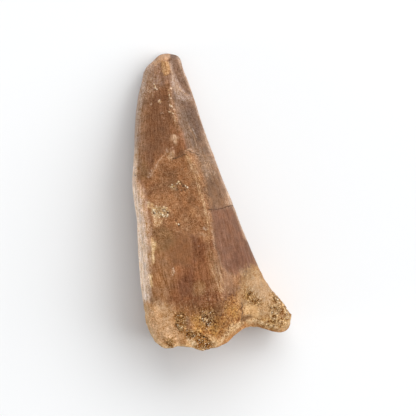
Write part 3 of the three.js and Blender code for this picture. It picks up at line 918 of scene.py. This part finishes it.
# The tones: what varies, the effect that it follows, and how strong it is. A stain changes the
# three channels alike, and dust as DUST_COLOUR says.
STAIN_TONE = [("streaks", "striped", 0.5), ("mottle", None, 0.7)]
DUST_TONE = [
    ("threads", "striped", 1.35), ("middle", "speckled", 0.9), ("fine", "speckled", 1.5),
    ("finest", "speckled", 1.8), ("crumb", "crumbly", 1.0),
]
DUST_COLOUR = (1.0, 1.38, 2.05)
HUES = [(0.32, (1.045, 0.99, 0.91)), (0.68, (1.0, 1.005, 1.02))]
BUMPS = [  # in mm
    ("streaks", "striped", 0.035), ("threads", "striped", 0.018), ("middle", "rough", 0.14),
    ("fine", "rough", 0.08), ("finest", "rough", 0.03), ("dark", None, -0.12),
    ("bright", None, 0.05),
]


def fossil_material():
    material, shader = add_material("fossil")
    graph = Graph(material)
    spot = graph.spot()
    along = graph.attribute("grain", "Vector")
    warp = graph.noise(spot, WARP_SCALE, output="Color")
    spaces = {
        "spot": spot,
        "bent": graph.vectors("ADD", spot, graph.scale(warp, WARP)),
        "along": along,
        "short": graph.vectors("MULTIPLY", along, (1.0, 1.0, SHORTER)),
    }
    values = {name: graph.noise(spaces[space], *rest) for name, (space, *rest) in NOISES.items()}
    for name, edge in PATCHES.items():
        values[name] = graph.step(values[name], *edge)
    effects = {name: graph.attribute(name) for name in (*EFFECTS, "striped")}

    def cover_of(field, soft, ragged, lengthwise):
        edge = graph.centred(values["edge_along" if lengthwise else "edge"])
        depth = graph.total(graph.attribute(field), graph.product(edge, 2 * ragged))
        return graph.step(depth, -soft, soft)

    def weighed(rows, prepare=lambda value: value):
        parts = []
        for name, effect, strength in rows:
            follows = [effects[effect]] if effect else []
            parts.append(graph.product(prepare(values[name]), *follows, strength))
        return graph.total(*parts)

    colour = graph.mix(graph.step(values["mottle"], *UNDER_CLOUDS), ENAMEL, ENAMEL_UNDER)
    normal = {"Vector": graph.node("ShaderNodeNewGeometry", output="Normal")}
    facing = graph.node("ShaderNodeSeparateXYZ", (), normal, "Z")
    colour = graph.mix(graph.step(facing, *UNDER_NORMAL), colour, ENAMEL)
    roughness = ENAMEL_ROUGHNESS
    wander = graph.product(graph.centred(values["wander"]), 2 * THIN_WANDER)
    for layer in LAYERS:
        cover = cover_of(layer.field, layer.soft, layer.ragged, layer.lengthwise)
        cover = graph.product(cover, layer.share)
        if layer.field in THIN:
            side = graph.total(graph.attribute(layer.field + "_side"), wander)
            edge = (THIN[layer.field] * share for share in THIN_EDGE)
            beyond = graph.step(graph.math("ABSOLUTE", side), *edge)
            cover = graph.product(cover, graph.rest(beyond))
        if layer.broken:
            worn = values["worn_along" if layer.lengthwise else "worn"]
            cover = graph.product(cover, graph.rest(graph.product(worn, layer.broken)))
        colour = graph.mix(cover, colour, (*layer.colour, 1))
        roughness = graph.blend(cover, roughness, layer.roughness)
    for field, factor in BRIGHTNESS_PATCHES.items():
        cover = cover_of(field, BRIGHTNESS_PATCH_SOFT, BRIGHTNESS_PATCH_RAGGED, True)
        colour = graph.scale(colour, graph.blend(cover, 1.0, factor))

    # crumbs parted by dark gaps and pits, whose dark is partly their own and partly painted shade,
    # and bright flecks
    cells = {"Color": graph.cells(spaces["bent"], CRUMB_CELLS, "F1", "Color")}
    values["crumb"] = graph.node("ShaderNodeSeparateColor", (), cells, "Red")
    gaps = graph.cells(spaces["bent"], CRUMB_CELLS, "DISTANCE_TO_EDGE", "Distance")
    gaps = graph.product(graph.rest(graph.step(gaps, 0.0, GAP_WIDTH)), effects["crumbly"])
    gaps = graph.product(gaps, values["clusters"], GAP_STRENGTH)
    clustered = graph.blend(values["clusters"], LONE_PITS, 1.0)
    pits = graph.product(values["pits"], effects["pitted"], clustered)
    values["dark"] = graph.math("MAXIMUM", gaps, pits)
    colour = graph.mix(graph.product(values["dark"], DARK_STRENGTH), colour, PIT_SHADE_COLOUR)
    curls = graph.step(graph.math("ABSOLUTE", graph.centred(values["curls"])), *CURL_EDGE)
    curls = graph.product(graph.rest(curls), effects["fibrous"], CURL_STRENGTH)
    specks = graph.product(values["specks"], effects["flecky"], SPECK_STRENGTH)
    values["bright"] = graph.math("MAXIMUM", specks, curls)
    pale = graph.mix(effects["crumbly"], FLECK_COLOUR, CRUMB_COLOUR)
    colour = graph.mix(values["bright"], colour, pale)

    stain = graph.total(1.0, weighed(STAIN_TONE, graph.centred))
    dust = graph.scale(DUST_COLOUR, weighed(DUST_TONE, graph.centred))
    colour = graph.scale(colour, stain)
    colour = graph.vectors("MULTIPLY", colour, graph.vectors("ADD", dust, (1.0, 1.0, 1.0)))
    colour = graph.vectors("MULTIPLY", colour, graph.ramp(values["hue"], HUES))
    uneven = graph.product(graph.centred(values["fine"]), UNEVEN_ROUGHNESS)
    sheen = graph.blend(effects["crumbly"], SHEEN, CRUMB_SHEEN)
    graph.plug(shader.inputs["Base Color"], colour)
    graph.plug(shader.inputs["Specular IOR Level"], sheen)
    graph.plug(shader.inputs["Roughness"], graph.total(roughness, uneven))
    graph.plug(shader.inputs["Normal"], graph.bump(weighed(BUMPS), MM))
    return material


# ------ loose mineral grains

# Where grains sit: the field, how many, the range of their radius in mm, and the dimmest shade.
Scatter = namedtuple("Scatter", "field count small large dimmest")
SCATTERS = [
    Scatter("porous", 420, 0.04, 0.10, 0.0),
    Scatter("granular", 230, 0.05, 0.12, 0.0),
    Scatter("druse", 32, 0.06, 0.12, 0.35),
    Scatter("hollow", 100, 0.05, 0.11, 0.40),
    Scatter("flecks", 45, 0.05, 0.10, 0.4),
    Scatter("crust", 70, 0.06, 0.13, 0.35),
    Scatter("crystals", 34, 0.11, 0.19, 0.69),
]
GRAIN_SEED = 11
GRAIN_LOWEST = 1  # mm above the floor
GRAIN_SQUASH = (0.6, 1.2)  # a grain's three half widths, as shares of its radius
GRAIN_SEAT = (-0.35, 0.45)  # how far its middle lies above the skin, as a share of its radius
GRAIN_JITTER = 0.1  # mm
GRAIN_SHADES = [
    (0.00, (0.12, 0.048, 0.014)),
    (0.22, (0.30, 0.140, 0.040)),
    (0.45, (0.52, 0.270, 0.085)),
    (0.68, (0.68, 0.420, 0.160)),
    (0.88, (0.90, 0.780, 0.580)),
]
GRAIN_SHEEN = 0.3
GRAIN_CLOUDS = 9.0  # features per mm
GRAIN_CLOUDY = 0.5  # how far they change a grain's shade
GRAIN_ROUGHNESS = (0.2, 0.3)  # the least, and what the clouds add
GRAIN_BUMP = 0.04 * MM


def icosahedron():
    """The corners and faces of an icosahedron of radius 1."""
    shape = bmesh.new()
    bmesh.ops.create_icosphere(shape, subdivisions=1, radius=1.0)
    corners = np.array([vert.co for vert in shape.verts])
    faces = np.array([[vert.index for vert in face.verts] for face in shape.faces])
    shape.free()
    return corners, faces


def turns(random, count):
    """Random rotation matrices."""
    return np.array([
        Quaternion(turn).normalized().to_matrix() for turn in random.normal(size=(count, 4))
    ])


def grain_material():
    material, shader = add_material("grains")
    graph = Graph(material)
    cloud = graph.noise(graph.spot(), GRAIN_CLOUDS)
    clouded = graph.product(graph.centred(cloud), GRAIN_CLOUDY)
    shade = graph.total(graph.attribute("shade"), clouded)
    least, added = GRAIN_ROUGHNESS
    graph.plug(shader.inputs["Base Color"], graph.ramp(shade, GRAIN_SHADES))
    graph.plug(shader.inputs["Specular IOR Level"], GRAIN_SHEEN)
    graph.plug(shader.inputs["Roughness"], graph.total(graph.product(cloud, added), least))
    graph.plug(shader.inputs["Normal"], graph.bump(cloud, GRAIN_BUMP))
    return material


def make_grains(points, normals, depths):
    """One joined mesh of small faceted grains, half sunk in the skin where the fields say."""
    random = np.random.RandomState(GRAIN_SEED)
    corners, faces = icosahedron()
    seats, radii, shades = [], [], []
    for scatter in SCATTERS:
        inside = np.flatnonzero((depths[scatter.field] > 0) & (points[:, 2] > GRAIN_LOWEST))
        seats.append(random.choice(inside, scatter.count))
        radii.append(random.uniform(scatter.small, scatter.large, scatter.count))
        shades.append(random.uniform(scatter.dimmest, 1, scatter.count))
    seats, radii = np.concatenate(seats), np.concatenate(radii)
    count = len(seats)
    widths = radii[:, None] * random.uniform(*GRAIN_SQUASH, (count, 3))
    shapes = (corners * widths[:, None]) @ turns(random, count)
    lift = radii * random.uniform(*GRAIN_SEAT, count)
    jitter = random.uniform(-GRAIN_JITTER, GRAIN_JITTER, (count, 3))
    middles = points[seats] + normals[seats] * lift[:, None] + jitter
    places = (shapes + middles[:, None]).reshape(-1, 3) * MM
    indices = faces[None] + np.arange(count)[:, None, None] * len(corners)
    mesh = bpy.data.meshes.new("mineral_grains")
    mesh.from_pydata(places, [], indices.reshape(-1, 3))
    add_number(mesh, "shade", np.repeat(np.concatenate(shades), len(corners)))
    mesh.materials.append(grain_material())
    return add_object("mineral_grains", mesh)


# ------ the tooth

DEEPEST = 3  # mm: the mesh keeps no depth beyond this

mesh = refined_copy(TOOTH)
place = read_vectors(mesh.vertices, "co") / MM
normal = read_vectors(mesh.vertex_normals, "vector")
depths = field_depths(place, normal)
patterns = pattern_places(place)
shaped = place + normal * relief(place, depths, patterns)[:, None]
shaped[:, 2] = np.maximum(shaped[:, 2], 0)
mesh.vertices.foreach_set("co", (shaped * MM).astype(np.float32).ravel())

painted = {field: depths[field] for field in (*(layer.field for layer in LAYERS), *BRIGHTNESS_PATCHES)}
painted.update((field + "_side", line_side(FIELDS[field], place[:, :2])) for field in THIN)
for name, values in painted.items():
    add_number(mesh, name, np.clip(values, -DEEPEST, DEEPEST))
for name, values in effect_strengths(depths).items():
    add_number(mesh, name, values)
grain = mesh.attributes.new("grain", "FLOAT_VECTOR", "POINT")
grain.data.foreach_set("vector", patterns.astype(np.float32).ravel())

tooth = add_object("fossil_tooth", mesh)
mesh.shade_smooth()
mesh.materials.append(fossil_material())
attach(tooth, "root")
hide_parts(TOOTH)

grains = make_grains(shaped, read_vectors(mesh.vertex_normals, "vector"), depths)
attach(grains, "root")

make_camera()
for lamp in LAMPS:
    make_lamp(lamp)
make_sky()
make_floor()
bpy.context.scene.view_settings.view_transform = "Standard"
